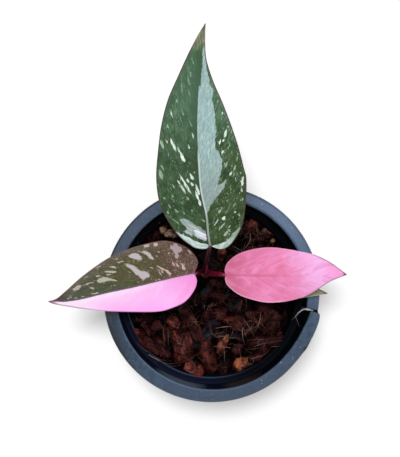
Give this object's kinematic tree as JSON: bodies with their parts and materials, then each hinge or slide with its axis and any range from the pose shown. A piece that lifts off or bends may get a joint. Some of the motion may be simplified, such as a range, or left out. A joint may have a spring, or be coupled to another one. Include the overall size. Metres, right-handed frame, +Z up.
{
  "type": "potted variegated philodendron",
  "caption": "Young variegated philodendron with pointed heart-based leaves in green, cream and pink, rooted in a bark mix in a round tapered nursery pot with a wide flat rim.",
  "frame": {"origin": "centre of the pot's flat underside", "axes": "+Z up, with the tallest leaf reaching out along +Y and the all-pink leaf along +X"},
  "size_m": [0.1614, 0.1967, 0.1625],
  "materials": {
    "pot_plastic": "satin slate-blue moulded plastic",
    "bark": "rough red-brown bark chips",
    "stem_skin": "satin dark maroon skin",
    "stalk_skin": "waxy crimson skin",
    "leaf_green": "waxy green leaf with pale flecks",
    "leaf_half_pink": "waxy leaf, half olive green and half pink",
    "leaf_pink": "waxy pink leaf"
  },
  "bodies": {
    "root": {"pot": "pot_plastic", "bark_bed": "bark", "stem": "stem_skin", "petiole_top": "stalk_skin", "petiole_left": "stalk_skin", "petiole_right": "stalk_skin", "petiole_small": "stalk_skin", "leaf_top": "leaf_green", "leaf_left": "leaf_half_pink", "leaf_right": "leaf_pink", "leaf_small": "leaf_green", "new_leaf": "stalk_skin"}
  },
  "joints": []
}
